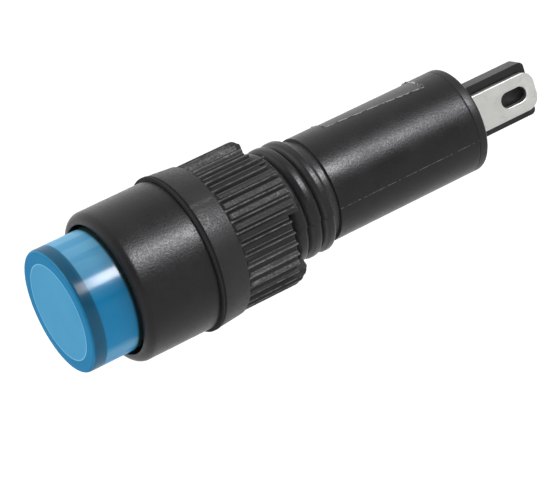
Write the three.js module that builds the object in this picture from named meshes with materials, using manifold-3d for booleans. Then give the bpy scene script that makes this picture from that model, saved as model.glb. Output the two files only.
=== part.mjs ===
// A panel-mount indicator lamp with a screw-on lock nut, for a round hole of 10.2 mm.
// Millimetres. The lamp's axis is Y: the lens faces -Y and the solder lugs point to +Y.
// The origin is on the axis, in the plane of the head's rear face, which is the panel seat.
// The insulating wall between the lugs stands upright in the YZ plane, and +Z is up.
import * as THREE from "three";
import { mergeVertices } from "three/addons/utils/BufferGeometryUtils.js";
import Module from "manifold-3d";

const wasm = await Module();
wasm.setup();

// ---------------------------------------------------------------- driving dimensions

const FACETS = 40; // flats round every turned surface, and steps in a turn of the thread
const TURN = 2 * Math.PI;
const DEGREE = Math.PI / 180;

// Head, the round bezel in front of the panel.
const HEAD_RADIUS = 6.5;
const HEAD_LENGTH = 6.8;
const HEAD_ROUND = 0.7;
const HEAD_REAR_ROUND = 0.2;
const HEAD_FRONT = -HEAD_LENGTH;
const HEAD_FLOOR = -1.5;
const SOCKET_RADIUS = 5.62;
const SNAP_GROOVE_RADIUS = 5.9;
const SNAP_GROOVE = [-2.95, -2.15];

// Threaded neck and plain barrel behind the head.
const BORE_RADIUS = 3.6;
const THREAD_CORE_RADIUS = 4.3;
const THREAD_CREST_RADIUS = 5.0;
const THREAD_PITCH = 1.35;
const THREAD_END = 13.1;
const THREAD_PHASE = { angle: 69.7 * DEGREE, y: 11.8 }; // a point on the ridge's middle line
const THREAD_RUN_OUT = 6; // steps in which the ridge rises at each end
const BODY_RIDGE = {
  wall: THREAD_CORE_RADIUS,
  crest: THREAD_CREST_RADIUS,
  span: [1.3, 12.4],
  rootHalf: 0.5,
  crestHalf: 0.27,
};
const BARREL_RADIUS = 4.61;
const BARREL_END = 27.3;

// Lens and what is lit inside it.
const LENS_RADIUS = 5.3;
const LENS_FACE = -11.1;
const LENS_EDGE_ROUND = 0.25;
const LENS_FRONT_WALL = 1.19;
const LENS_HOLLOW_RADIUS = 4.15;
const LENS_REAR = -1.6;
const SNAP_BEAD_RADIUS = 5.78;
const DIFFUSER_RADIUS = 4.1;
const DIFFUSER_WALL = 0.5;
const DIFFUSER_REAR = -2.3;

// Lock nut and the washer in front of it.
const WASHER_RADIUS = 6.8;
const WASHER_SPAN = [0.02, 0.33];
const WASHER_BORE = 5.08;
const NUT_FRONT = 0.35;
const NUT_BAND_END = 2.76;
const NUT_END = 8.83;
const NUT_FRONT_RADIUS = 6.75;
const NUT_FRONT_BEVEL = 0.15;
const NUT_BAND_RADIUS = 6.55;
const NUT_RIB_RADIUS = 6.42;
const NUT_GROOVE_RADIUS = 6.05;
const NUT_RIBS = 40;
const NUT_RIB_PHASE = 67 * DEGREE;
const NUT_END_ROUND = 0.7;
const NUT_BORE_RADIUS = 5.12; // clears the thread's crest
const NUT_MOUTH_RADIUS = 5.3;
const NUT_RIDGE = {
  wall: NUT_BORE_RADIUS,
  crest: 4.72,
  span: [1.5, 7.1],
  rootHalf: 0.34,
  crestHalf: 0.2,
};
const NUT_LANDS = 4;
const NUT_LAND_RIBS = 4; // ribs across one land; the rest of each quarter is a notch
const NUT_NOTCH_DEPTH = 1.13;

// Terminal base, its dividing wall and the two solder lugs.
const BASE_END = 28.18;
const BASE_EDGE_ROUND = 0.25;
const SPIGOT_RADIUS = 3.52;
const SPIGOT_FRONT = 23.6;
const WALL_HALF_THICKNESS = 0.75;
const WALL_HALF_WIDTH = 2.38;
const WALL_END = 35.6;
const WALL_CORNER = 0.45;
const LUG_THICKNESS = 0.6;
const LUG_INNER_FACE = 0.87;
const LUG_HALF_WIDTH = 1.68;
const LUG_TIP = 35.75;
const LUG_CORNER = 1.15;
const LUG_SLOT_CENTRE = 33.42;
const LUG_SLOT_LENGTH = 2.6;
const LUG_SLOT_WIDTH = 1.36;
const LUG_SHOULDER = [22.6, 23.5];
const LUG_SHOULDER_HALF = 2.1;
const LUG_TAIL_FRONT = 20.6;
const LUG_TAIL_HALF = 1.2;
const FIT_GAP = 0.05;

// Light source and the parts wired between it and the lugs.
const LED_RADIUS = 2.5;
const LED_FLANGE_RADIUS = 2.9;
const LED_FLANGE = [0.6, 1.6];
const LED_DOME_CENTRE = -4.5;
const LED_LEAD_SIZE = 0.5;
const LED_LEAD_OFFSET = 1.27;
const LED_LEAD_END = 6.5;
const HOLDER_RADIUS = 3.52;
const HOLDER_FLANGE_RADIUS = 4.0;
const HOLDER_SPAN = [-2.2, 2.6];
const WIRE_RADIUS = 0.3;
const WIRE_OFFSET = 1.86;
const WIRE_START = 4.7;
const RESISTOR = { offset: WIRE_OFFSET, span: [9.0, 15.3], radius: 1.15, cap: 1.25, capLength: 1.3 };
const DIODE = { offset: -WIRE_OFFSET, span: [9.5, 14.7], radius: 1.35 };
const LUG_WIRE = { x: 0.4, y: [17.5, 20.5, 23.2], z: 0.85 };
const SPLICE = { y: 5.6, z: 1.6, radius: 0.75, halfLength: 0.9 };
const SLEEVE = { inner: 0.85, outer: 1.1, halfLength: 1.75 };
const TAIL_SOLDER = { x: 0.55, y: 21.7, z: 0.85, radius: 0.66, halfLength: 0.8 };

// ---------------------------------------------------------------- solids and meshes

// Three.js geometry to a solid that can be joined and cut.
function solid(geometry) {
  const bare = geometry.index ? geometry.toNonIndexed() : geometry.clone();
  bare.deleteAttribute("normal");
  bare.deleteAttribute("uv");
  const merged = mergeVertices(bare, 1e-4);
  const vertProperties = merged.attributes.position.array;
  const triVerts = new Uint32Array(merged.index.array);
  return new wasm.Manifold(new wasm.Mesh({ numProp: 3, vertProperties, triVerts }));
}

// A joined or cut solid back to three.js geometry.
function geometryOf(manifold) {
  const mesh = manifold.getMesh();
  const geometry = new THREE.BufferGeometry();
  geometry.setAttribute("position", new THREE.BufferAttribute(mesh.vertProperties, 3));
  geometry.setIndex(new THREE.BufferAttribute(mesh.triVerts, 1));
  geometry.computeVertexNormals();
  return geometry;
}

// A ring or plug turned about Y. The outline is [radius, y] points, anticlockwise with the radius
// to the right.
function turned(outline) {
  const points = outline.map(([radius, y]) => new THREE.Vector2(radius, y));
  if (outline[0][0] > 0) points.push(points[0].clone());
  return new THREE.LatheGeometry(points, FACETS);
}

// Points of a quarter round between two angles, for a turned outline.
function roundCorner(radius, y, size, fromDegrees, toDegrees, steps = 4) {
  const points = [];
  for (let i = 0; i <= steps; i++) {
    const angle = (fromDegrees + ((toDegrees - fromDegrees) * i) / steps) * DEGREE;
    points.push([radius + size * Math.cos(angle), y + size * Math.sin(angle)]);
  }
  return points;
}

// A flat outline drawn in Y and Z, thick along X from x to x + thickness.
function plateAcrossX(shape, x, thickness) {
  const options = { depth: thickness, bevelEnabled: false, curveSegments: 6 };
  const geometry = new THREE.ExtrudeGeometry(shape, options);
  const basis = new THREE.Matrix4().makeBasis(
    new THREE.Vector3(0, 1, 0),
    new THREE.Vector3(0, 0, 1),
    new THREE.Vector3(1, 0, 0),
  );
  return geometry.applyMatrix4(basis).translate(x, 0, 0);
}

// A closed skin put together from rings of points round Y, for shapes that aren't simply turned.
class Skin {
  positions = [];
  indices = [];

  point(radius, angle, y) {
    this.positions.push(radius * Math.sin(angle), y, radius * Math.cos(angle));
    return this.positions.length / 3 - 1;
  }

  ring(radius, angles, y) {
    return angles.map((angle) => this.point(radius, angle, y));
  }

  // Triangles from one corner across a list of points, anticlockwise from outside.
  fan(corner, edge) {
    for (let i = 0; i + 1 < edge.length; i++) this.indices.push(corner, edge[i], edge[i + 1]);
  }

  // The wall between two rings with as many points each.
  band(from, to) {
    from.forEach((corner, i) => {
      const next = (i + 1) % from.length;
      this.fan(corner, [from[next], to[next], to[i]]);
    });
  }

  // The wall between two rings, with the right-hand ridge wound over it. It faces the axis if
  // inward is set.
  threadedBand(low, high, ridge, firstAngle, phaseShift, inward) {
    const rise = THREAD_PITCH / FACETS;
    const turnsToFirst = (firstAngle - THREAD_PHASE.angle) / TURN + phaseShift;
    const base = THREAD_PHASE.y + THREAD_PITCH * turnsToFirst;
    const first = Math.ceil((ridge.span[0] - base) / rise);
    const last = Math.floor((ridge.span[1] - base) / rise);
    const lines = [];
    for (let step = first; step <= last; step++) {
      const fade = Math.min(1, (step - first) / THREAD_RUN_OUT, (last - step) / THREAD_RUN_OUT);
      const crest = ridge.wall + (ridge.crest - ridge.wall) * fade;
      const angle = firstAngle + (TURN * step) / FACETS;
      const y = base + rise * step;
      lines.push([
        this.point(ridge.wall, angle, y - ridge.rootHalf),
        this.point(crest, angle, y - ridge.crestHalf),
        this.point(crest, angle, y + ridge.crestHalf),
        this.point(ridge.wall, angle, y + ridge.rootHalf),
      ]);
    }
    const end = lines.length - 1;
    const column = (step) => (((first + step) % FACETS) + FACETS) % FACETS;
    const wall = (corner, edge) => this.fan(corner, inward ? edge.reverse() : edge);

    // The ridge's two flanks and its crest.
    for (let step = 0; step < end; step++) {
      for (let side = 0; side < 3; side++) {
        wall(lines[step][side], [lines[step + 1][side], lines[step + 1][side + 1], lines[step][side + 1]]);
      }
    }
    // The groove's floor, from one turn of the ridge to the next.
    for (let step = 0; step < end - FACETS; step++) {
      wall(lines[step][3], [lines[step + 1][3], lines[step + 1 + FACETS][0], lines[step + FACETS][0]]);
    }
    // The plain wall before the ridge, up to where the ridge starts.
    for (let step = 0; step < FACETS - 1; step++) {
      wall(low[column(step)], [low[column(step + 1)], lines[step + 1][0], lines[step][0]]);
    }
    wall(lines[FACETS - 1][0], [low[column(FACETS - 1)], low[column(0)], ...lines[0], lines[FACETS][0]]);
    // The plain wall after the ridge, from where the ridge ends.
    const lastTurn = end - FACETS;
    for (let step = lastTurn + 1; step < end; step++) {
      wall(lines[step][3], [lines[step + 1][3], high[column(step + 1)], high[column(step)]]);
    }
    const closing = [high[column(lastTurn + 1)], high[column(lastTurn)], ...lines[end].slice().reverse()];
    wall(lines[lastTurn + 1][3], [...closing, lines[lastTurn][3]]);
  }

  geometry() {
    const geometry = new THREE.BufferGeometry();
    geometry.setAttribute("position", new THREE.BufferAttribute(new Float32Array(this.positions), 3));
    geometry.setIndex(this.indices);
    geometry.computeVertexNormals();
    return geometry;
  }
}

// The angles of the flats round Y, from the first one on.
function columns(firstAngle) {
  return Array.from({ length: FACETS }, (_, i) => firstAngle + (TURN * i) / FACETS);
}

// A round or square wire along a list of points.
function wire(points, radius, corners = 8) {
  const section = new THREE.Shape();
  for (let i = 0; i < corners; i++) {
    const angle = (TURN * (i + 0.5)) / corners;
    const place = [radius * Math.cos(angle), radius * Math.sin(angle)];
    if (i === 0) section.moveTo(...place);
    else section.lineTo(...place);
  }
  const stops = points.map((p) => new THREE.Vector3(...p));
  const path = new THREE.CatmullRomCurve3(stops, false, "catmullrom", 0.3);
  const steps = points.length > 2 ? 14 : 1;
  return new THREE.ExtrudeGeometry(section, { steps, extrudePath: path, bevelEnabled: false });
}

// A rounded blob, long along Y, for solder.
function blob(radius, halfLength) {
  const outline = [];
  for (let i = 0; i <= 8; i++) {
    const angle = -Math.PI / 2 + (Math.PI * i) / 8;
    outline.push(new THREE.Vector2(i % 8 ? radius * Math.cos(angle) : 0, halfLength * Math.sin(angle)));
  }
  return new THREE.LatheGeometry(outline, 12);
}

const finishes = {
  black_nylon: { color: 0x2b2b2d, roughness: 0.42, metalness: 0 },
  blue_lens: { color: 0x3f9bd0, roughness: 0.12, metalness: 0 },
  white_diffuser: { color: 0xe6eef2, roughness: 0.6, metalness: 0 },
  black_rubber: { color: 0x141414, roughness: 0.8, metalness: 0 },
  tinned_brass: { color: 0xc5c8c3, roughness: 0.35, metalness: 1 },
  solder: { color: 0xb4b6b8, roughness: 0.3, metalness: 1 },
  led_resin: { color: 0xdfe9f5, roughness: 0.1, metalness: 0 },
  resistor_coat: { color: 0x6fb0b8, roughness: 0.5, metalness: 0 },
  diode_epoxy: { color: 0x1c1c1e, roughness: 0.45, metalness: 0 },
  shrink_sleeve: { color: 0x232325, roughness: 0.55, metalness: 0 },
};

function part(name, finish, geometry, position = [0, 0, 0]) {
  const mesh = new THREE.Mesh(geometry, new THREE.MeshStandardMaterial(finishes[finish]));
  mesh.name = name;
  mesh.position.set(...position);
  return mesh;
}

// ---------------------------------------------------------------- moulded body

// Head, threaded neck and barrel in one moulding, open at the front for the lens and at the rear
// for the base.
function housing() {
  const neckStart = [THREAD_CORE_RADIUS, 0];
  const outline = [
    [BORE_RADIUS, HEAD_FLOOR],
    [SOCKET_RADIUS, HEAD_FLOOR],
    [SOCKET_RADIUS, SNAP_GROOVE[1]],
    [SNAP_GROOVE_RADIUS, SNAP_GROOVE[1]],
    [SNAP_GROOVE_RADIUS, SNAP_GROOVE[0]],
    [SOCKET_RADIUS, SNAP_GROOVE[0]],
    [SOCKET_RADIUS, HEAD_FRONT],
    ...roundCorner(HEAD_RADIUS - HEAD_ROUND, HEAD_FRONT + HEAD_ROUND, HEAD_ROUND, -90, 0),
    ...roundCorner(HEAD_RADIUS - HEAD_REAR_ROUND, -HEAD_REAR_ROUND, HEAD_REAR_ROUND, 0, 90, 2),
    neckStart,
    [THREAD_CORE_RADIUS, THREAD_END],
    [BARREL_RADIUS, THREAD_END],
    [BARREL_RADIUS, BARREL_END],
    [BORE_RADIUS, BARREL_END],
  ];
  const skin = new Skin();
  const rings = outline.map(([radius, y]) => skin.ring(radius, columns(0), y));
  rings.forEach((ring, i) => {
    const next = rings[(i + 1) % rings.length];
    if (outline[i] === neckStart) skin.threadedBand(ring, next, BODY_RIDGE, 0, 0, false);
    else skin.band(ring, next);
  });
  return skin.geometry();
}

// ---------------------------------------------------------------- lens end

// Clear blue cap, open at the rear, with a bead that snaps into the head's groove.
function lens() {
  const beadMiddle = (SNAP_GROOVE[0] + SNAP_GROOVE[1]) / 2;
  const outline = [
    [0, LENS_FACE],
    ...roundCorner(LENS_RADIUS - LENS_EDGE_ROUND, LENS_FACE + LENS_EDGE_ROUND, LENS_EDGE_ROUND, -90, 0, 3),
    [LENS_RADIUS, beadMiddle - 0.35],
    [SNAP_BEAD_RADIUS, beadMiddle - 0.15],
    [SNAP_BEAD_RADIUS, beadMiddle + 0.15],
    [LENS_RADIUS, beadMiddle + 0.35],
    [LENS_RADIUS, LENS_REAR],
    [LENS_HOLLOW_RADIUS, LENS_REAR],
    [LENS_HOLLOW_RADIUS, LENS_FACE + LENS_FRONT_WALL],
    [0, LENS_FACE + LENS_FRONT_WALL],
  ];
  return new THREE.LatheGeometry(outline.map(([radius, y]) => new THREE.Vector2(radius, y)), FACETS);
}

// White cup inside the lens that spreads the light.
function diffuser() {
  const face = LENS_FACE + LENS_FRONT_WALL + FIT_GAP;
  const outline = [
    [0, face],
    [DIFFUSER_RADIUS - 0.15, face],
    [DIFFUSER_RADIUS, face + 0.15],
    [DIFFUSER_RADIUS, DIFFUSER_REAR],
    [DIFFUSER_RADIUS - DIFFUSER_WALL, DIFFUSER_REAR],
    [DIFFUSER_RADIUS - DIFFUSER_WALL, face + DIFFUSER_WALL],
    [0, face + DIFFUSER_WALL],
  ];
  return new THREE.LatheGeometry(outline.map(([radius, y]) => new THREE.Vector2(radius, y)), FACETS);
}

// Collar that centres the light source in the head's bore.
function ledHolder() {
  const shelf = HEAD_FLOOR - FIT_GAP;
  return turned([
    [LED_RADIUS + 0.1, HOLDER_SPAN[0]],
    [HOLDER_FLANGE_RADIUS, HOLDER_SPAN[0]],
    [HOLDER_FLANGE_RADIUS, shelf],
    [HOLDER_RADIUS, shelf],
    [HOLDER_RADIUS, HOLDER_SPAN[1]],
    [LED_FLANGE_RADIUS + 0.1, HOLDER_SPAN[1]],
    [LED_FLANGE_RADIUS + 0.1, LED_FLANGE[0] - 0.1],
    [LED_RADIUS + 0.1, LED_FLANGE[0] - 0.1],
  ]);
}

// Round-topped lamp body with its collar.
function ledBody() {
  const dome = roundCorner(0, LED_DOME_CENTRE, LED_RADIUS, -90, 0, 6);
  dome[0][0] = 0;
  const outline = [
    ...dome,
    [LED_RADIUS, LED_FLANGE[0]],
    [LED_FLANGE_RADIUS, LED_FLANGE[0]],
    [LED_FLANGE_RADIUS, LED_FLANGE[1]],
    [0, LED_FLANGE[1]],
  ];
  return new THREE.LatheGeometry(outline.map(([radius, y]) => new THREE.Vector2(radius, y)), 24);
}

// ---------------------------------------------------------------- lock nut and washer

function gasketWasher() {
  return turned([
    [WASHER_BORE, WASHER_SPAN[0]],
    [WASHER_RADIUS, WASHER_SPAN[0]],
    [WASHER_RADIUS, WASHER_SPAN[1]],
    [WASHER_BORE, WASHER_SPAN[1]],
  ]);
}

// Places round one rib, as parts of the pitch from its middle, with the radius there.
const RIB_SECTION = [
  [-0.5, NUT_GROOVE_RADIUS],
  [-0.3, NUT_GROOVE_RADIUS],
  [-0.13, NUT_RIB_RADIUS],
  [0.13, NUT_RIB_RADIUS],
  [0.3, NUT_GROOVE_RADIUS],
];

// Smooth tapered band, ribbed grip and a notched rear rim, threaded inside.
function lockNut() {
  const skin = new Skin();
  const ribPitch = TURN / NUT_RIBS;
  const firstAngle = NUT_RIB_PHASE - ribPitch / 2;
  const coarse = columns(firstAngle);
  const fineCount = NUT_RIBS * RIB_SECTION.length;
  const notchFloor = NUT_END - NUT_NOTCH_DEPTH;

  // A ring that follows the ribs, kept inside a limiting radius.
  const ribRing = (limit, y) => {
    const places = Array.from({ length: fineCount }, (_, i) => i);
    return places.map((i) => {
      const rib = Math.floor(i / RIB_SECTION.length);
      const [share, radius] = RIB_SECTION[i % RIB_SECTION.length];
      return skin.point(Math.min(radius, limit), firstAngle + ribPitch * (rib + 0.5 + share), y);
    });
  };
  // The stretch of a rib ring over one flat, with the first point of the next flat.
  const over = (ring, flat) => {
    const from = flat * RIB_SECTION.length;
    return [...ring.slice(from, from + RIB_SECTION.length), ring[(from + RIB_SECTION.length) % fineCount]];
  };

  const mouth = skin.ring(NUT_MOUTH_RADIUS, coarse, NUT_FRONT);
  const frontEdge = skin.ring(NUT_FRONT_RADIUS - NUT_FRONT_BEVEL, coarse, NUT_FRONT);
  const bandStart = skin.ring(NUT_FRONT_RADIUS, coarse, NUT_FRONT + NUT_FRONT_BEVEL);
  const bandEnd = skin.ring(NUT_BAND_RADIUS, coarse, NUT_BAND_END);
  const boreStart = skin.ring(NUT_BORE_RADIUS, coarse, NUT_FRONT + NUT_MOUTH_RADIUS - NUT_BORE_RADIUS);
  const boreEnd = skin.ring(NUT_BORE_RADIUS, coarse, notchFloor);
  const rimInside = skin.ring(NUT_BORE_RADIUS, coarse, NUT_END);
  const rimRoundCentre = [NUT_RIB_RADIUS - NUT_END_ROUND, NUT_END - NUT_END_ROUND];
  const rimLevels = roundCorner(...rimRoundCentre, NUT_END_ROUND, 0, 90, 3);
  const ribStart = ribRing(NUT_RIB_RADIUS, NUT_BAND_END + 0.05);
  const ribsAtNotch = ribRing(NUT_RIB_RADIUS, notchFloor);
  const rim = [ribsAtNotch, ...rimLevels.map(([radius, y]) => ribRing(radius, y))];

  skin.band(mouth, frontEdge);
  skin.band(frontEdge, bandStart);
  skin.band(bandStart, bandEnd);
  skin.band(ribStart, ribsAtNotch);
  skin.band(boreStart, mouth);
  skin.threadedBand(boreStart, boreEnd, NUT_RIDGE, firstAngle, 0.5, true);

  const flatsPerQuarter = NUT_RIBS / NUT_LANDS;
  for (let flat = 0; flat < FACETS; flat++) {
    const next = (flat + 1) % FACETS;
    skin.fan(bandEnd[flat], [bandEnd[next], ...over(ribStart, flat).reverse()]);
    // The first land is centred on the first flat's edge.
    const place = (flat + NUT_LAND_RIBS / 2) % flatsPerQuarter;
    if (place >= NUT_LAND_RIBS) {
      skin.fan(boreEnd[flat], [...over(ribsAtNotch, flat), boreEnd[next]]);
      continue;
    }
    for (let level = 0; level + 1 < rim.length; level++) {
      const below = over(rim[level], flat);
      const above = over(rim[level + 1], flat);
      for (let i = 0; i + 1 < below.length; i++) skin.fan(below[i], [below[i + 1], above[i + 1], above[i]]);
    }
    skin.fan(rimInside[flat], [...over(rim.at(-1), flat), rimInside[next]]);
    skin.fan(rimInside[flat], [rimInside[next], boreEnd[next], boreEnd[flat]]);
    const side = (edgeFlat) => rim.map((ring) => ring[edgeFlat * RIB_SECTION.length]);
    if (place === 0) skin.fan(boreEnd[flat], [...side(flat), rimInside[flat]]);
    if (place === NUT_LAND_RIBS - 1) skin.fan(boreEnd[next], [rimInside[next], ...side(next).reverse()]);
  }
  return skin.geometry();
}

// ---------------------------------------------------------------- terminal end

// Outline of the dividing wall in Y and Z, from inside the flange to its rounded free end.
function wallOutline() {
  const shape = new THREE.Shape();
  shape.moveTo(BASE_END - 0.4, -WALL_HALF_WIDTH);
  shape.lineTo(WALL_END - WALL_CORNER, -WALL_HALF_WIDTH);
  shape.absarc(WALL_END - WALL_CORNER, -WALL_HALF_WIDTH + WALL_CORNER, WALL_CORNER, -Math.PI / 2, 0);
  shape.absarc(WALL_END - WALL_CORNER, WALL_HALF_WIDTH - WALL_CORNER, WALL_CORNER, 0, Math.PI / 2);
  shape.lineTo(BASE_END - 0.4, WALL_HALF_WIDTH);
  return shape;
}

// Round base pushed into the barrel, with the dividing wall behind it and a slot for each lug.
function terminalBase() {
  const flange = turned([
    [0, SPIGOT_FRONT],
    [SPIGOT_RADIUS, SPIGOT_FRONT],
    [SPIGOT_RADIUS, BARREL_END + FIT_GAP],
    [BARREL_RADIUS, BARREL_END + FIT_GAP],
    ...roundCorner(BARREL_RADIUS - BASE_EDGE_ROUND, BASE_END - BASE_EDGE_ROUND, BASE_EDGE_ROUND, 0, 90, 2),
    [0, BASE_END],
  ]);
  const wall = plateAcrossX(wallOutline(), -WALL_HALF_THICKNESS, 2 * WALL_HALF_THICKNESS);
  let body = solid(flange).add(solid(wall));
  const slotHalf = LUG_HALF_WIDTH + FIT_GAP;
  const slotThickness = LUG_THICKNESS + 2 * FIT_GAP;
  const slot = new THREE.BoxGeometry(slotThickness, 2 * (BASE_END - SPIGOT_FRONT), 2 * slotHalf);
  for (const side of [1, -1]) {
    const x = side * (LUG_INNER_FACE + LUG_THICKNESS / 2);
    body = body.subtract(solid(slot.clone().translate(x, (BASE_END + SPIGOT_FRONT) / 2, 0)));
  }
  return geometryOf(body);
}

// Flat lug: a tail inside for its wire, with a shoulder against the base.
function lugTailOutline() {
  const shape = new THREE.Shape();
  shape.moveTo(LUG_TAIL_FRONT, -LUG_TAIL_HALF);
  shape.lineTo(LUG_SHOULDER[0], -LUG_TAIL_HALF);
  shape.lineTo(LUG_SHOULDER[0], -LUG_SHOULDER_HALF);
  shape.lineTo(LUG_SHOULDER[1], -LUG_SHOULDER_HALF);
  shape.lineTo(LUG_SHOULDER[1], -LUG_HALF_WIDTH);
  shape.lineTo(BASE_END, -LUG_HALF_WIDTH);
  shape.lineTo(BASE_END, LUG_HALF_WIDTH);
  shape.lineTo(LUG_SHOULDER[1], LUG_HALF_WIDTH);
  shape.lineTo(LUG_SHOULDER[1], LUG_SHOULDER_HALF);
  shape.lineTo(LUG_SHOULDER[0], LUG_SHOULDER_HALF);
  shape.lineTo(LUG_SHOULDER[0], LUG_TAIL_HALF);
  shape.lineTo(LUG_TAIL_FRONT, LUG_TAIL_HALF);
  return shape;
}

// The lug's blade behind the base, with round corners and a slot for the wire.
function lugBladeOutline() {
  const shape = new THREE.Shape();
  shape.moveTo(BASE_END, -LUG_HALF_WIDTH);
  shape.lineTo(LUG_TIP - LUG_CORNER, -LUG_HALF_WIDTH);
  shape.absarc(LUG_TIP - LUG_CORNER, -LUG_HALF_WIDTH + LUG_CORNER, LUG_CORNER, -Math.PI / 2, 0);
  shape.absarc(LUG_TIP - LUG_CORNER, LUG_HALF_WIDTH - LUG_CORNER, LUG_CORNER, 0, Math.PI / 2);
  shape.lineTo(BASE_END, LUG_HALF_WIDTH);
  const slot = new THREE.Path();
  const reach = (LUG_SLOT_LENGTH - LUG_SLOT_WIDTH) / 2;
  const round = LUG_SLOT_WIDTH / 2;
  slot.absarc(LUG_SLOT_CENTRE + reach, 0, round, -Math.PI / 2, Math.PI / 2);
  slot.absarc(LUG_SLOT_CENTRE - reach, 0, round, Math.PI / 2, (3 * Math.PI) / 2);
  shape.holes.push(slot);
  return shape;
}

// The tail and the blade are joined end to end, so the blade's own flat faces start at the base.
function lug(side) {
  const x = side > 0 ? LUG_INNER_FACE : -LUG_INNER_FACE - LUG_THICKNESS;
  const tail = plateAcrossX(lugTailOutline(), x, LUG_THICKNESS);
  const blade = plateAcrossX(lugBladeOutline(), x, LUG_THICKNESS);
  return geometryOf(solid(tail).add(solid(blade)));
}

// ---------------------------------------------------------------- wiring inside the barrel

// Square lead of the light source, above the axis for side 1 and below it for side -1.
function ledLead(side, size = LED_LEAD_SIZE) {
  const length = LED_LEAD_END - LED_FLANGE[1] - FIT_GAP;
  const middle = LED_FLANGE[1] + FIT_GAP + length / 2;
  return new THREE.BoxGeometry(size, length, size).translate(0, middle, side * LED_LEAD_OFFSET);
}

// Straight wire from the splice at the light source to a component's front end.
function frontWire(side, component, radius = WIRE_RADIUS) {
  const end = component.span[0] - FIT_GAP;
  const points = [[0, WIRE_START, side * WIRE_OFFSET], [0, end, side * WIRE_OFFSET]];
  return wire(points, radius);
}

// Bent wire from a component's rear end to the inner face of its lug's tail.
function rearWire(side, component, radius = WIRE_RADIUS) {
  const [bendStart, bendEnd, end] = LUG_WIRE.y;
  const points = [
    [0, component.span[1] + FIT_GAP, side * WIRE_OFFSET],
    [0, bendStart, side * WIRE_OFFSET],
    [side * LUG_WIRE.x, bendEnd, side * LUG_WIRE.z],
    [side * LUG_WIRE.x, end, side * LUG_WIRE.z],
  ];
  return wire(points, radius);
}

// Solder round the splice of a square lead and a round wire.
function spliceSolder(side, component) {
  const ball = blob(SPLICE.radius, SPLICE.halfLength).translate(0, SPLICE.y, side * SPLICE.z);
  const lead = ledLead(side, LED_LEAD_SIZE + 0.06);
  const bore = frontWire(side, component, WIRE_RADIUS + 0.04);
  return geometryOf(solid(ball).subtract(solid(lead)).subtract(solid(bore)));
}

// Sleeve shrunk over a splice.
function spliceSleeve(side) {
  const tube = turned([
    [SLEEVE.inner, SPLICE.y - SLEEVE.halfLength],
    [SLEEVE.outer, SPLICE.y - SLEEVE.halfLength],
    [SLEEVE.outer, SPLICE.y + SLEEVE.halfLength],
    [SLEEVE.inner, SPLICE.y + SLEEVE.halfLength],
  ]);
  return tube.translate(0, 0, side * SPLICE.z);
}

// Solder that holds a wire to the inner face of its lug's tail.
function lugSolder(side, component) {
  const place = [side * TAIL_SOLDER.x, TAIL_SOLDER.y, side * TAIL_SOLDER.z];
  const ball = blob(TAIL_SOLDER.radius, TAIL_SOLDER.halfLength).translate(...place);
  const x = side > 0 ? LUG_INNER_FACE - 0.03 : -LUG_INNER_FACE - LUG_THICKNESS;
  const tail = plateAcrossX(lugTailOutline(), x, LUG_THICKNESS + 0.03);
  const bore = rearWire(side, component, WIRE_RADIUS + 0.04);
  return geometryOf(solid(ball).subtract(solid(tail)).subtract(solid(bore)));
}

// Resistor with a slightly larger cap at each end.
function resistorBody() {
  const [front, rear] = RESISTOR.span;
  const bevel = 0.2;
  const outline = [
    [0, front],
    [RESISTOR.cap - bevel, front],
    [RESISTOR.cap, front + bevel],
    [RESISTOR.cap, front + RESISTOR.capLength],
    [RESISTOR.radius, front + RESISTOR.capLength + bevel],
    [RESISTOR.radius, rear - RESISTOR.capLength - bevel],
    [RESISTOR.cap, rear - RESISTOR.capLength],
    [RESISTOR.cap, rear - bevel],
    [RESISTOR.cap - bevel, rear],
    [0, rear],
  ];
  const body = new THREE.LatheGeometry(outline.map(([radius, y]) => new THREE.Vector2(radius, y)), 16);
  return body.translate(0, 0, RESISTOR.offset);
}

function diodeBody() {
  const [front, rear] = DIODE.span;
  const bevel = 0.15;
  const outline = [
    [0, front],
    [DIODE.radius - bevel, front],
    [DIODE.radius, front + bevel],
    [DIODE.radius, rear - bevel],
    [DIODE.radius - bevel, rear],
    [0, rear],
  ];
  const body = new THREE.LatheGeometry(outline.map(([radius, y]) => new THREE.Vector2(radius, y)), 16);
  return body.translate(0, 0, DIODE.offset);
}

// ---------------------------------------------------------------- assembly

const lamp = new THREE.Group();
lamp.add(part("housing", "black_nylon", housing()));
lamp.add(part("lens", "blue_lens", lens()));
lamp.add(part("diffuser", "white_diffuser", diffuser()));
lamp.add(part("led_holder", "white_diffuser", ledHolder()));
lamp.add(part("led_body", "led_resin", ledBody()));
lamp.add(part("gasket_washer", "black_rubber", gasketWasher()));
lamp.add(part("lock_nut", "black_nylon", lockNut()));
lamp.add(part("terminal_base", "black_nylon", terminalBase()));
lamp.add(part("lug_a", "tinned_brass", lug(1)));
lamp.add(part("lug_b", "tinned_brass", lug(-1)));
lamp.add(part("resistor_body", "resistor_coat", resistorBody()));
lamp.add(part("diode_body", "diode_epoxy", diodeBody()));
const wiring = [
  [1, "anode", RESISTOR, "resistor"],
  [-1, "cathode", DIODE, "diode"],
];
for (const [side, pole, component, name] of wiring) {
  lamp.add(part(`led_${pole}_lead`, "tinned_brass", ledLead(side)));
  lamp.add(part(`${name}_front_lead`, "tinned_brass", frontWire(side, component)));
  lamp.add(part(`${name}_rear_lead`, "tinned_brass", rearWire(side, component)));
  lamp.add(part(`solder_${pole}`, "solder", spliceSolder(side, component)));
  lamp.add(part(`sleeve_${pole}`, "shrink_sleeve", spliceSleeve(side)));
  lamp.add(part(`solder_lug_${side > 0 ? "a" : "b"}`, "solder", lugSolder(side, component)));
}

export default lamp;
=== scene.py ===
import math

import bmesh
import bpy
from mathutils import Matrix, Vector, noise


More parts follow.
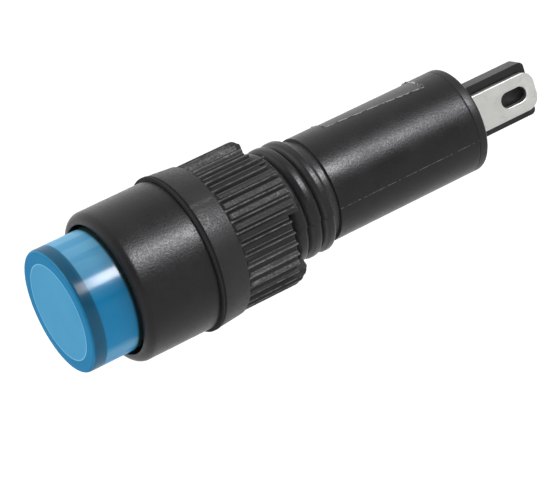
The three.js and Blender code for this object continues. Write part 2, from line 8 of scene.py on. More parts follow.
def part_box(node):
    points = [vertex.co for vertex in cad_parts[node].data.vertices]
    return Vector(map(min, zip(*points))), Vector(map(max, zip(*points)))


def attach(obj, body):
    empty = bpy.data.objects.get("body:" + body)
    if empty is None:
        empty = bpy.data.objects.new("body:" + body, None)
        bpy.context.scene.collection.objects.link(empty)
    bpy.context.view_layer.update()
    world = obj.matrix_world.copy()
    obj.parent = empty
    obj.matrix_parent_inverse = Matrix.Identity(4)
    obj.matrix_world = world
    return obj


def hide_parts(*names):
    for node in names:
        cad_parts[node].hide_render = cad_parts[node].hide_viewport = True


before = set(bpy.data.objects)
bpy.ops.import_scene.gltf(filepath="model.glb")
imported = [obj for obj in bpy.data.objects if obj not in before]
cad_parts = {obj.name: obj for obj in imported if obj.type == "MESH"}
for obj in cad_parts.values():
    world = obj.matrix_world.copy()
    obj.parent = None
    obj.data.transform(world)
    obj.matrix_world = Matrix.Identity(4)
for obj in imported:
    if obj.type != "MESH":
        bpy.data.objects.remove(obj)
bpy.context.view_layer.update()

MM = 0.001
TURN = 2 * math.pi
COLUMNS = 200  # columns of faces round the turned pieces
MERGE = 0.0015  # points closer than this become one


def lowest(node):
    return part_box(node)[0] / MM


def highest(node):
    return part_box(node)[1] / MM


# Head and lens.
HEAD_FRONT = lowest("housing").y
HEAD_RADIUS = -lowest("housing").x
HEAD_ROUND = 0.75
HEAD_REAR_ROUND = 0.06
HEAD_SIDE_LENGTH = 5.2
HEAD_SIDE_ROWS = 12
HEAD_FLOOR = -1.5
SOCKET_RADIUS = 5.62
SOCKET_ROUND = 0.12
LENS_FACE = lowest("lens").y
LENS_REAR = highest("lens").y
LENS_RADIUS = 5.3
LENS_FRONT_WALL = 1.19
LENS_HOLLOW_RADIUS = 4.15
LENS_EDGE_ROUND = 0.28
SNAP_BEAD_RADIUS = highest("lens").x
SNAP_BEAD_ROUND = 0.2
SNAP_GROOVE_RADIUS = 5.9
SNAP_Y = -2.55  # middle of the lens's snap bead and of the head's groove for it
SNAP_HALF_LENGTH = 0.4
DIFFUSER_RADIUS = highest("diffuser").x
DIFFUSER_WALL = 0.5

# Threaded neck and barrel.
BORE_RADIUS = 3.6
CORE_RADIUS = 4.3
CREST_RADIUS = 5.0
PITCH = 1.35
CREST_THETA = math.radians(69.7)  # the ridge's middle passes this angle at CREST_Y
CREST_Y = 11.8
RIDGE_HALVES = (0.62, 0.15)  # half lengths of the ridge at its root and at its crest
THREAD_SPAN = (0.9, 12.9)
NECK_END = 13.1
BARREL_RADIUS = 4.61
BARREL_END = highest("housing").y
BARREL_END_ROUND = 0.04
PARTING_THETA = math.radians(102.7)
MOULD_OFFSET = 0.12  # how far one half of the thread is shifted along the axis
FLASH_HEIGHT = 0.022
FLASH_REACH = math.radians(0.8)
BLEMISH_THETA = math.radians(99)  # a rough lump by the parting line
BLEMISH_Y = 16.9
BLEMISH_HEIGHT = 0.10

# The shallow pressed field on top of the barrel: its ends along Y, and its edges round the axis.
FIELD_Y = (16.0, 25.2)
FIELD_EDGE_THETA = (math.radians(6.7), math.radians(18.7))
FIELD_FAR_THETA = math.radians(-62)
FIELD_DEPTH = 0.07
FIELD_EDGE = 0.09  # how far the edge takes to step down
BURR_HEIGHT = 0.09
BURR_LIMIT = 0.07  # nothing stands further off the barrel

# Lock nut.
NUT_FRONT = lowest("lock_nut").y
NUT_END = highest("lock_nut").y
NUT_FRONT_RADIUS = 6.75
NUT_MOUTH_RADIUS = 5.3  # the bore opens out to this at the front face
NUT_MOUTH_DEPTH = 0.18
NUT_TAPER_END = 1.4
NUT_BAND_RADIUS = 6.55
NUT_BAND_END = 2.76
NUT_EDGE_ROUND = 0.07
RIBS = 40
RIB_COLUMNS = 16
RIB_FLANK = 0.27  # share of a rib's width over which it falls to the groove
RIB_RUN_OUT = 0.45
RIB_THETA = math.radians(67)
RIB_RADIUS = 6.42
RIB_GROOVE_RADIUS = 6.05
NUT_NOTCH_Y = 7.7
NUT_LANDS = 4
LAND_RIBS = 4
NUT_END_ROUND = 0.7
NUT_BORE_RADIUS = 5.12
NUT_BORE_ROUND = 0.1
NUT_RIDGE_RADIUS = 4.85
NUT_RIDGE_HALVES = (0.2, 0.08)
NUT_THREAD_SPAN = (1.3, 7.3)
NUT_DARK = (0.019, 0.019, 0.0193)
NUT_PALE = (0.028, 0.028, 0.0285)

# Terminal end.
BASE_START = lowest("terminal_base").y
BASE_END = 28.18
BASE_ROUND = 0.25
SPIGOT_RADIUS = 3.52
FLANGE_GAP = 0.015
FLANGE_FRONT_ROUND = 0.03
WALL_HALF_THICKNESS = 0.75
WALL_HALF_WIDTH = 2.38
WALL_CORNER = 0.45
WALL_END = highest("terminal_base").y
LUG_TAIL = lowest("lug_a").y
LUG_TAIL_HALF = 1.2
LUG_SHOULDER = (22.6, 23.5)
LUG_SHOULDER_HALF = highest("lug_a").z
LUG_HALF_WIDTH = 1.68
LUG_CORNER = 1.15
LUG_SLOT_CENTRE = 33.42
LUG_SLOT_REACH = 0.62
LUG_SLOT_HALF = 0.68
LUG_TIP = highest("lug_a").y
LUG_INNER_FACE = lowest("lug_a").x
LUG_OUTER_FACE = highest("lug_a").x


# ---------------------------------------------------------------- mesh helpers


def smoothstep(low, high, value):
    share = min(1.0, max(0.0, (value - low) / (high - low)))
    return share * share * (3 - 2 * share)


def around(radius, theta, y):
    return Vector((radius * math.sin(theta), y, radius * math.cos(theta)))


def arc(radius, y, size, from_degrees, to_degrees, steps=6):
    """Outline points of a round, centred on (radius, y)."""
    points = []
    for i in range(steps + 1):
        angle = math.radians(from_degrees + (to_degrees - from_degrees) * i / steps)
        points.append((radius + size * math.cos(angle), y + size * math.sin(angle)))
    return points


def even_columns(count=COLUMNS, first=0.0):
    return [first + TURN * i / count for i in range(count)]


def add_wall(mesh, rows, closed=True):
    """Faces between rows of points, each row as long as the next."""
    rings = [[mesh.verts.new(point) for point in row] for row in rows]
    length = len(rows[0])
    for below, above in zip(rings, rings[1:]):
        for i in range(length if closed else length - 1):
            j = (i + 1) % length
            mesh.faces.new((below[i], below[j], above[j], above[i]))


def add_turned(mesh, outline, thetas):
    """The wall that an outline of (radius, y) points sweeps round the axis."""
    add_wall(mesh, [[around(r, theta, y) for theta in thetas] for r, y in outline])


def ridge_offsets(root_half, crest_half, steps=8):
    """Heights across one pitch of a thread, as (offset along the axis, share of full height)."""
    flank = [(root_half + (crest_half - root_half) * i / steps, i / steps) for i in range(steps + 1)]
    rising = [(-PITCH / 2, 0.0)] + [(-offset, share) for offset, share in flank]
    falling = [(offset, share) for offset, share in reversed(flank)]
    return [(offset, math.sqrt(share * (2 - share))) for offset, share in [*rising, (0.0, 1.0), *falling]]


def add_thread(mesh, wall, crest, halves, span, ends, thetas, shift):
    """A threaded wall between ends[0] and ends[1].

    The ridge's middle runs over span, and fades at both ends. Rows of points follow the helix. Outside
    the ends they lie on the end ring, where they merge."""
    offsets = ridge_offsets(*halves)
    start = math.floor((ends[0] - CREST_Y) / PITCH) - 2
    fading = 0.25
    turns = math.ceil((ends[1] - ends[0]) / PITCH) + 4
    rows = []
    for turn in range(start, start + turns):
        for offset, height in offsets:
            row = []
            for theta in thetas:
                middle = CREST_Y + PITCH * (turn + (theta - CREST_THETA) / TURN) + shift(theta)
                fade = smoothstep(span[0], span[0] + fading, middle)
                fade *= 1 - smoothstep(span[1] - fading, span[1], middle)
                y = min(ends[1], max(ends[0], middle + offset))
                inside = ends[0] < middle + offset < ends[1]
                radius = wall + (crest - wall) * height * fade if inside else wall
                row.append(around(radius, theta, y))
            rows.append(row)
    rings = [[mesh.verts.new(point) for point in row] for row in rows]
    count, per_turn = len(thetas), len(offsets)
    for k in range(len(rings) - 1):
        for j in range(count - 1):
            mesh.faces.new((rings[k][j], rings[k][j + 1], rings[k + 1][j + 1], rings[k + 1][j]))
        if k + per_turn + 1 < len(rings):
            last, first = rings[k : k + 2], rings[k + per_turn : k + per_turn + 2]
            mesh.faces.new((last[0][-1], first[0][0], first[1][0], last[1][-1]))


def finish_piece(name, mesh, node, body, material, smooth_degrees=35, modifiers=()):
    """Closes a mesh in millimetres, and sets it up as the piece that stands for a CAD node."""
    bmesh.ops.remove_doubles(mesh, verts=mesh.verts, dist=MERGE)
    bmesh.ops.delete(mesh, geom=[v for v in mesh.verts if not v.link_faces], context="VERTS")
    bmesh.ops.recalc_face_normals(mesh, faces=mesh.faces)
    bmesh.ops.scale(mesh, vec=(MM, MM, MM), verts=mesh.verts)
    data = bpy.data.meshes.new(name)
    mesh.to_mesh(data)
    mesh.free()
    data.shade_smooth()
    piece = bpy.data.objects.new(name, data)
    bpy.context.scene.collection.objects.link(piece)
    data.materials.append(material)
    for kind, settings in modifiers:
        modifier = piece.modifiers.new(kind.lower(), kind)
        for setting, value in settings.items():
            setattr(modifier, setting, value)
    apply_modifiers(piece)
    piece.data.shade_smooth()
    piece.data.set_sharp_from_angle(angle=math.radians(smooth_degrees))
    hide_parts(node)
    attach(piece, body)
    return piece


def apply_modifiers(piece):
    if not piece.modifiers:
        return
    evaluated = piece.evaluated_get(bpy.context.evaluated_depsgraph_get())
    applied = bpy.data.meshes.new_from_object(evaluated)
    piece.modifiers.clear()
    piece.data = applied


def soft_edges(width, segments, degrees=40):
    """A bevel of the sharp edges, as a modifier for finish_piece."""
    settings = {
        "width": width * MM,
        "segments": segments,
        "limit_method": "ANGLE",
        "angle_limit": math.radians(degrees),
        "harden_normals": True,
    }
    return ("BEVEL", settings)


# ---------------------------------------------------------------- materials


class Surface:
    """A material whose colour, roughness and relief come from nodes."""

    def __init__(self, name, **values):
        self.material = bpy.data.materials.new(name)
        self.material.use_nodes = True
        self.tree = self.material.node_tree
        self.shader = self.tree.nodes["Principled BSDF"]
        self.place = self.tree.nodes.new("ShaderNodeTexCoord").outputs["Object"]
        for socket, value in values.items():
            self.shader.inputs[socket.replace("_", " ")].default_value = value

    def noise(self, size_mm, detail=3.0, roughness=0.55, stretch=None):
        """Cloudy noise whose patches are about size_mm across."""
        place = self.place
        if stretch:
            mapping = self.tree.nodes.new("ShaderNodeMapping")
            mapping.inputs["Scale"].default_value = stretch
            self.tree.links.new(place, mapping.inputs["Vector"])
            place = mapping.outputs["Vector"]
        node = self.tree.nodes.new("ShaderNodeTexNoise")
        node.inputs["Scale"].default_value = 1 / (size_mm * MM)
        node.inputs["Detail"].default_value = detail
        node.inputs["Roughness"].default_value = roughness
        self.tree.links.new(place, node.inputs["Vector"])
        return node.outputs["Fac"]

    def scratches(self, spacing_mm, stretch):
        """Fine broken lines along the direction that stretch shortens."""
        cloudy = self.noise(spacing_mm, detail=2.0, roughness=0.5, stretch=stretch)
        return self.span(cloudy, 0.60, 0.68, 0.0, 1.0)

    def worn_edges(self, low, high):
        """1 on convex edges, and 0 elsewhere."""
        node = self.tree.nodes.new("ShaderNodeNewGeometry")
        return self.span(node.outputs["Pointiness"], low, high, 0.0, 1.0)

    def span(self, value, low, high, to_low, to_high):
        """A value stretched from one range to another, and held at the ends."""
        node = self.tree.nodes.new("ShaderNodeMapRange")
        sockets = ("From Min", "From Max", "To Min", "To Max")
        for socket, number in zip(sockets, (low, high, to_low, to_high)):
            node.inputs[socket].default_value = number
        self.tree.links.new(value, node.inputs["Value"])
        return node.outputs["Result"]

    def combine(self, first, second, operation):
        node = self.tree.nodes.new("ShaderNodeMath")
        node.operation = operation
        self.tree.links.new(first, node.inputs[0])
        self.tree.links.new(second, node.inputs[1])
        return node.outputs["Value"]

    def colour(self, value, stops):
        """Colour from a value, through a ramp of (position, colour) stops."""
        node = self.tree.nodes.new("ShaderNodeValToRGB")
        ramp = node.color_ramp
        while len(ramp.elements) < len(stops):
            ramp.elements.new(0.5)
        for element, (position, colour) in zip(ramp.elements, stops):
            element.position = position
            element.color = (*colour, 1.0)
        self.tree.links.new(value, node.inputs["Fac"])
        return node.outputs["Color"]

    def mix(self, share, first, second):
        node = self.tree.nodes.new("ShaderNodeMix")
        node.data_type = "RGBA"
        self.tree.links.new(share, node.inputs["Factor"])
        self.tree.links.new(first, node.inputs["A"])
        self.tree.links.new(second, node.inputs["B"])
        return node.outputs["Result"]

    def axes(self):
        """The X, Y and Z of a point on the piece, in metres."""
        node = self.tree.nodes.new("ShaderNodeSeparateXYZ")
        self.tree.links.new(self.place, node.inputs["Vector"])
        return [node.outputs[axis] for axis in "XYZ"]

    def along(self):
        """Place along the lamp's axis, in metres."""
        return self.axes()[1]

    def from_axis(self):
        """Distance from the lamp's axis, in metres."""
        x, _, z = self.axes()
        node = self.tree.nodes.new("ShaderNodeCombineXYZ")
        self.tree.links.new(x, node.inputs["X"])
        self.tree.links.new(z, node.inputs["Z"])
        length = self.tree.nodes.new("ShaderNodeVectorMath")
        length.operation = "LENGTH"
        self.tree.links.new(node.outputs["Vector"], length.inputs[0])
        return length.outputs["Value"]

    def angle(self):
        """Angle round the lamp's axis from +Z towards +X, in radians."""
        x, _, z = self.axes()
        return self.combine(x, z, "ARCTAN2")

    def between(self, value, low, high, soft):
        """1 where a value is between two limits, with soft edges, and 0 elsewhere."""
        rise = self.span(value, low - soft, low + soft, 0.0, 1.0)
        fall = self.span(value, high - soft, high + soft, 1.0, 0.0)
        return self.combine(rise, fall, "MULTIPLY")

    def zone(self, value, low_mm, high_mm, soft_mm):
        """1 where a place in metres is between two limits in millimetres, and 0 elsewhere."""
        return self.between(value, low_mm * MM, high_mm * MM, soft_mm * MM)

    def sector(self, low_degrees, high_degrees, soft_degrees):
        """1 on one side of the lamp, between two angles round its axis, and 0 elsewhere."""
        limits = [math.radians(value) for value in (low_degrees, high_degrees, soft_degrees)]
        return self.between(self.angle(), *limits)

    def paint(self, colour):
        self.tree.links.new(colour, self.shader.inputs["Base Color"])

    def gloss(self, value, low, high, to_low, to_high):
        self.tree.links.new(self.span(value, low, high, to_low, to_high), self.shader.inputs["Roughness"])

    def relief(self, *layers):
        """Bump from (height value, depth in mm, strength) layers, one over another."""
        normal = None
        for height, depth_mm, strength in layers:
            bump = self.tree.nodes.new("ShaderNodeBump")
            bump.inputs["Distance"].default_value = depth_mm * MM
            bump.inputs["Strength"].default_value = strength
            self.tree.links.new(height, bump.inputs["Height"])
            if normal:
                self.tree.links.new(normal, bump.inputs["Normal"])
            normal = bump.outputs["Normal"]
        self.tree.links.new(normal, self.shader.inputs["Normal"])


def black_plastic(name, dark, pale, roughness, grain_depth, marks=None):
    """Satin moulded nylon: fine grain, cloudy gloss and faint scuffs. marks adds a piece's own wear, and
    painted light where a piece has it.
    """
    surface = Surface(name, IOR=1.5, Specular_IOR_Level=0.195)
    clouds = surface.noise(2.4, detail=4.0)
    grain = surface.noise(0.16, detail=2.0, roughness=0.6)
    scuffs = surface.scratches(0.22, (1.0, 0.12, 1.0))
    paint = surface.colour(clouds, [(0.3, dark), (0.75, pale)])
    gloss = surface.combine(clouds, surface.span(grain, 0.25, 0.75, -0.4, 0.4), "ADD")
    if marks:
        paint, gloss = marks(surface, grain, paint, gloss)
    surface.paint(paint)
    surface.gloss(gloss, 0.2, 0.85, *roughness)
    surface.relief((clouds, 0.10, 0.12), (grain, grain_depth, 0.5), (scuffs, 0.006, 0.3))
    return surface.material


def housing_marks(surface, grain, paint, gloss):
    """Painted fill light in the thread's valleys, the pressed field painted paler for its chalky finish and
    a painted sheen, and the scraped lines on the barrel.
    """
    # Painted fill light: the thread's valleys and flanks are painted paler, lifting the shade there.
    painted_fill_light = surface.colour(grain, [(0.3, (0.044, 0.044, 0.045)), (0.8, (0.064, 0.064, 0.065))])
    deep = surface.zone(surface.from_axis(), CORE_RADIUS - 0.2, CREST_RADIUS - 0.08, 0.1)
    on_neck = surface.zone(surface.along(), 0.0, NECK_END, 0.02)
    paint = surface.mix(surface.combine(deep, on_neck, "MULTIPLY"), paint, painted_fill_light)
    # The pressed field is painted paler: partly its own chalky finish, partly a painted sheen for the light
    # it catches.
    field = pressed_field(surface)
    chalky_and_sheen = surface.colour(grain, [(0.3, (0.055, 0.056, 0.057)), (0.8, (0.095, 0.096, 0.097))])
    paint = surface.mix(field, paint, chalky_and_sheen)
    spots = surface.span(surface.noise(0.22, detail=3.0), 0.46, 0.54, 0.0, 1.0)
    scraped = surface.colour(grain, [(0.3, (0.20, 0.20, 0.205)), (0.8, (0.50, 0.50, 0.51))])
    paint = surface.mix(surface.combine(scraped_lines(surface), spots, "MULTIPLY"), paint, scraped)
    return paint, surface.combine(gloss, surface.span(field, 0.0, 1.0, 0.0, 0.45), "ADD")


def nut_marks(surface, grain, paint, gloss):
    """Paler worn edges, and rib tops painted paler, partly for chafing and partly as painted highlight
    lines along the crests.
    """
    worn = surface.colour(grain, [(0.3, [3.2 * c for c in NUT_DARK]), (0.8, [4.6 * c for c in NUT_PALE])])
    spots = surface.span(grain, 0.35, 0.7, 0.1, 0.8)
    paint = surface.mix(surface.combine(surface.worn_edges(0.515, 0.60), spots, "MULTIPLY"), paint, worn)
    grip = surface.zone(surface.along(), NUT_BAND_END + 0.1, NUT_END + 1.0, 0.05)
    # Rib tops: pale patches that are chafing and painted highlight lines at once.
    tops = surface.zone(surface.from_axis(), RIB_RADIUS - 0.04, RIB_RADIUS + 0.04, 0.02)
    patches = surface.noise(0.3, detail=4.0, stretch=(1.0, 0.4, 1.0))
    pale_marks = surface.span(patches, 0.36, 0.60, 0.0, 1.0)
    chafed_and_highlight = surface.colour(grain, [(0.3, (0.12, 0.12, 0.124)), (0.8, (0.28, 0.28, 0.285))])
    tops = surface.combine(surface.combine(tops, grip, "MULTIPLY"), pale_marks, "MULTIPLY")
    paint = surface.mix(tops, paint, chafed_and_highlight)
    return paint, surface.combine(gloss, surface.span(grip, 0.0, 1.0, 0.0, 0.15), "ADD")


def field_margin(surface):
    """Angle from a point to the near edge of the pressed field, positive inside it."""
    near_edge = surface.span(surface.along(), FIELD_Y[0] * MM, FIELD_Y[1] * MM, *FIELD_EDGE_THETA)
    return surface.combine(near_edge, surface.angle(), "SUBTRACT")


def pressed_field(surface):
    """1 inside the pressed field on top of the barrel, and 0 elsewhere."""
    soft = 0.01
    near = surface.span(field_margin(surface), -soft, soft, 0.0, 1.0)
    far = surface.span(surface.angle(), FIELD_FAR_THETA - soft, FIELD_FAR_THETA + soft, 0.0, 1.0)
    sides = surface.combine(near, far, "MULTIPLY")
    return surface.combine(sides, surface.zone(surface.along(), *FIELD_Y, 0.05), "MULTIPLY")


def scraped_lines(surface):
    """1 on the burr along the pressed field and on the mould's parting line, and 0 elsewhere."""
    y = surface.along()
    edge = surface.between(field_margin(surface), -0.030, 0.010, 0.006)
    edge = surface.combine(edge, surface.zone(y, FIELD_Y[0] - 0.1, FIELD_Y[1] + 0.1, 0.02), "MULTIPLY")
    end = surface.zone(y, FIELD_Y[1] - 0.02, FIELD_Y[1] + 0.12, 0.03)
    reach = surface.between(field_margin(surface), 0.0, 0.5, 0.05)
    end = surface.combine(end, reach, "MULTIPLY")
    seam = surface.between(surface.angle(), PARTING_THETA - 0.007, PARTING_THETA + 0.007, 0.003)
    seam = surface.combine(seam, surface.zone(y, NECK_END, BARREL_END, 0.02), "MULTIPLY")
    seam = surface.span(seam, 0.0, 1.0, 0.0, 0.35)
    return surface.combine(surface.combine(edge, end, "MAXIMUM"), seam, "MAXIMUM")


def lens_side(surface, haze):
    """The cap's side: paler bands at set angles round the axis, which are painted reflections of the cup
    inside, painted shade of the dark gap next to the head's socket, and a deeper tint at the solid front
    wall.
    """
    y = surface.along()
    painted_streaks = surface.noise(1.1, detail=2.0, stretch=(1.0, 0.12, 1.0))
    body = surface.colour(haze, [(0.2, (0.004, 0.26, 0.54)), (0.9, (0.008, 0.29, 0.58))])
    bright = surface.colour(haze, [(0.2, (0.13, 0.44, 0.68)), (0.9, (0.18, 0.49, 0.73))])
    deep = surface.colour(haze, [(0.2, (0.006, 0.105, 0.20)), (0.9, (0.009, 0.13, 0.24))])
    gap = surface.colour(haze, [(0.2, (0.016, 0.026, 0.022)), (0.9, (0.022, 0.034, 0.028))])
    # Painted reflections: paler blue in set sectors round the axis, broken into streaks along it.
    lit = surface.combine(surface.sector(-75, 62, 16), surface.sector(126, 141, 3), "MAXIMUM")
    lit = surface.combine(lit, surface.span(painted_streaks, 0.30, 0.60, 0.35, 1.0), "MULTIPLY")
    front_wall = surface.zone(y, LENS_FACE + 0.1, LENS_FACE + LENS_FRONT_WALL, 0.06)
    # Painted shade: near-black green next to the head's socket, where the gap between lens and head is
    # dark.
    socket_shade = surface.zone(y, HEAD_FRONT - 0.22, HEAD_FRONT + 1.0, 0.12)
    side = surface.mix(lit, body, bright)
    side = surface.mix(front_wall, side, deep)
    return surface.mix(socket_shade, side, gap)


def lens_front(surface, haze):
    """The cap's front: the cup shows as a paler disc, ringed by a thin painted highlight along its edge."""
    radius = surface.from_axis()
    rim = surface.colour(haze, [(0.2, (0.006, 0.150, 0.31)), (0.9, (0.009, 0.175, 0.35))])
    disc = surface.colour(haze, [(0.2, (0.045, 0.245, 0.42)), (0.9, (0.060, 0.275, 0.46))])
    # Painted highlight: a thin pale ring at the cup's edge.
    painted_rim_highlight = surface.colour(haze, [(0.2, (0.14, 0.42, 0.64)), (0.9, (0.18, 0.47, 0.70))])
    highlight_half = 0.04
    inner, outer = LENS_HOLLOW_RADIUS - highlight_half, LENS_HOLLOW_RADIUS + highlight_half
    front = surface.mix(surface.zone(radius, -1.0, LENS_HOLLOW_RADIUS, 0.03), rim, disc)
    return surface.mix(surface.zone(radius, inner, outer, 0.02), front, painted_rim_highlight)


def blue_acrylic():
    """Tinted clear plastic, clearer on its side than on its front."""
    surface = Surface("blue_acrylic", IOR=1.49, Specular_IOR_Level=0.0)
    haze = surface.noise(3.0, detail=2.0)
    marks = surface.scratches(0.12, (1.0, 0.2, 1.0))
    on_front = surface.span(surface.along(), (LENS_FACE + 0.05) * MM, (LENS_FACE + 0.15) * MM, 1.0, 0.0)
    surface.paint(surface.mix(on_front, lens_side(surface, haze), lens_front(surface, haze)))
    clear = surface.span(on_front, 0.0, 1.0, 0.4, 0.15)
    surface.tree.links.new(clear, surface.shader.inputs["Transmission Weight"])
    faint = surface.span(marks, 0.0, 1.0, 0.0, 0.25)
    surface.gloss(surface.combine(haze, faint, "ADD"), 0.2, 1.2, 0.15, 0.28)
    surface.relief((haze, 0.03, 0.15), (marks, 0.001, 0.1))
    return surface.material


def white_moulding():
    surface = Surface("white_moulding", IOR=1.5, Subsurface_Weight=0.35, Subsurface_Scale=0.001)
    clouds = surface.noise(2.0)
    grain = surface.noise(0.12)
    surface.paint(surface.colour(clouds, [(0.2, (0.78, 0.84, 0.88)), (0.9, (0.86, 0.90, 0.92))]))
    surface.gloss(grain, 0.2, 0.8, 0.45, 0.62)
    surface.relief((grain, 0.008, 0.4))
    return surface.material


def rubber():
    """Black rubber, with the half of its rim that meets the head painted grey as painted light, so that
    only a thin dark line shows between head and washer.
    """
    surface = Surface("washer_rubber", IOR=1.5, Specular_IOR_Level=0.12)
    clouds = surface.noise(1.5)
    grain = surface.noise(0.09, detail=4.0)
    black = surface.colour(clouds, [(0.2, (0.005, 0.005, 0.0045)), (0.9, (0.009, 0.009, 0.0085))])
    # Painted light: the front half of the rim is grey, like the lit edge of the head next to it.
    pale_marks = surface.colour(clouds, [(0.2, (0.020, 0.019, 0.0195)), (0.9, (0.030, 0.0285, 0.029))])
    middle = (lowest("gasket_washer").y + highest("gasket_washer").y) / 2
    surface.paint(surface.mix(surface.zone(surface.along(), -1.0, middle, 0.04), black, pale_marks))
    surface.gloss(grain, 0.2, 0.8, 0.7, 0.9)
    surface.relief((grain, 0.015, 0.6))
    return surface.material


def tin_plate():
    """Satin tin plate: rolled grain along the blade, dull patches and a few scuffs."""
    surface = Surface("tin_plate", Metallic=1.0)
    patches = surface.noise(1.3, detail=4.0)
    rolled = surface.noise(0.07, detail=2.0, stretch=(1.0, 0.06, 1.0))
    scuffs = surface.scratches(0.30, (1.0, 0.25, 0.6))
    plain = surface.colour(patches, [(0.25, (0.42, 0.425, 0.40)), (0.8, (0.50, 0.505, 0.48))])
    dull = surface.colour(rolled, [(0.2, (0.32, 0.32, 0.30)), (0.8, (0.40, 0.40, 0.38))])
    surface.paint(surface.mix(surface.span(scuffs, 0.0, 1.0, 0.0, 0.35), plain, dull))
    surface.gloss(surface.combine(patches, scuffs, "ADD"), 0.2, 1.5, 0.36, 0.55)
    surface.relief((rolled, 0.008, 0.25), (patches, 0.03, 0.12), (scuffs, 0.004, 0.3))
    return surface.material


def solder_metal():
    surface = Surface("solder_metal", Metallic=1.0)
    flow = surface.noise(0.7, detail=3.0)
    frost = surface.noise(0.06, detail=3.0)
    surface.paint(surface.colour(flow, [(0.2, (0.46, 0.47, 0.48)), (0.9, (0.62, 0.63, 0.64))]))
    surface.gloss(frost, 0.2, 0.8, 0.22, 0.42)
    surface.relief((flow, 0.05, 0.3), (frost, 0.006, 0.3))
    return surface.material


def clear_epoxy():
    surface = Surface("clear_epoxy", IOR=1.52, Transmission_Weight=0.85)
    haze = surface.noise(1.8)
    surface.paint(surface.colour(haze, [(0.2, (0.80, 0.86, 0.92)), (0.9, (0.90, 0.93, 0.96))]))
    surface.gloss(haze, 0.2, 0.9, 0.05, 0.12)
    surface.relief((haze, 0.02, 0.1))
    return surface.material


def lacquer(name, low, high, smooth, rough):
    """Lacquer or epoxy coat with an orange-peel surface."""
    surface = Surface(name, IOR=1.5)
    clouds = surface.noise(0.9)
    peel = surface.noise(0.18, detail=1.0)
    surface.paint(surface.colour(clouds, [(0.2, low), (0.9, high)]))
    surface.gloss(peel, 0.2, 0.8, smooth, rough)
    surface.relief((peel, 0.02, 0.3))
    return surface.material


# ---------------------------------------------------------------- moulded body


def half_pitch(theta):
    """The nut's ridge lies half a pitch on from the neck's, in its valleys."""
    return PITCH / 2


def mould_shift(theta):
    """The half of the mould past the parting line is a little out of step."""
    past = (theta - PARTING_THETA) % TURN
    blend = math.radians(2)
    return -MOULD_OFFSET * smoothstep(0, blend, past) * (1 - smoothstep(math.pi, math.pi + blend, past))


def housing_columns():
    """Even columns, with extra ones close to both parting lines."""
    thetas = even_columns()
    for side in (0, math.pi):
        thetas += [PARTING_THETA + side + math.radians(step * 0.35) for step in range(-3, 4)]
    thetas = sorted(theta % TURN for theta in thetas)
    return [a for a, b in zip(thetas, thetas[1:] + [thetas[0] + TURN]) if b - a > math.radians(0.15)]


def parting_flash(theta, y):
    """Height of the thin broken line of flash where the mould halves met."""
    height = 0.0
    for side in (0, math.pi):
        gap = (theta - PARTING_THETA - side + math.pi) % TURN - math.pi
        broken = 0.5 + 0.9 * noise.noise(Vector((3.1 * side, y * 1.1, 7.0)))
        height += FLASH_HEIGHT * max(0.0, broken) * (1 - smoothstep(0.0, FLASH_REACH, abs(gap)))
    across = (theta - BLEMISH_THETA) * BARREL_RADIUS
    reach = math.hypot(across, y - BLEMISH_Y)
    rough = 0.4 + 1.2 * noise.noise(Vector((across * 4, y * 4, 3.0)))
    return height + BLEMISH_HEIGHT * rough * (1 - smoothstep(0.1, 0.5, reach))


def field_depth(theta, y):
    """How deep the pressed field is at a point of the barrel, with a raised burr along its edge."""
    theta = (theta + math.pi) % TURN - math.pi
    along = (y - FIELD_Y[0]) / (FIELD_Y[1] - FIELD_Y[0])
    near_edge = FIELD_EDGE_THETA[0] + (FIELD_EDGE_THETA[1] - FIELD_EDGE_THETA[0]) * along
    inside = min(
        y - FIELD_Y[0],
        FIELD_Y[1] - y,
        (near_edge - theta) * BARREL_RADIUS,
        (theta - FIELD_FAR_THETA) * BARREL_RADIUS,
    )
    burr = max(0.0, 0.35 + 1.4 * noise.noise(Vector((theta * 9, y * 3.4, 1.0))))
    rim = max(0.0, 1 - abs(inside + FIELD_EDGE) / FIELD_EDGE)
    return FIELD_DEPTH * smoothstep(-FIELD_EDGE, FIELD_EDGE, inside) - BURR_HEIGHT * burr * rim


def barrel_rows(thetas):
    """Points along the barrel, with its field, burr and flash. The first and last rows are plain."""
    spacing = 0.14
    length = BARREL_END - BARREL_END_ROUND - NECK_END
    count = round(length / spacing)
    rows = [[around(BARREL_RADIUS, theta, NECK_END) for theta in thetas]]
    for i in range(1, count):
        y = NECK_END + length * i / count
        row = []
        for theta in thetas:
            radius = BARREL_RADIUS - field_depth(theta, y) + parting_flash(theta, y)
            row.append(around(min(radius, BARREL_RADIUS + BURR_LIMIT), theta, y))
        rows.append(row)
    rows.append([around(BARREL_RADIUS, theta, NECK_END + length) for theta in thetas])
    return rows


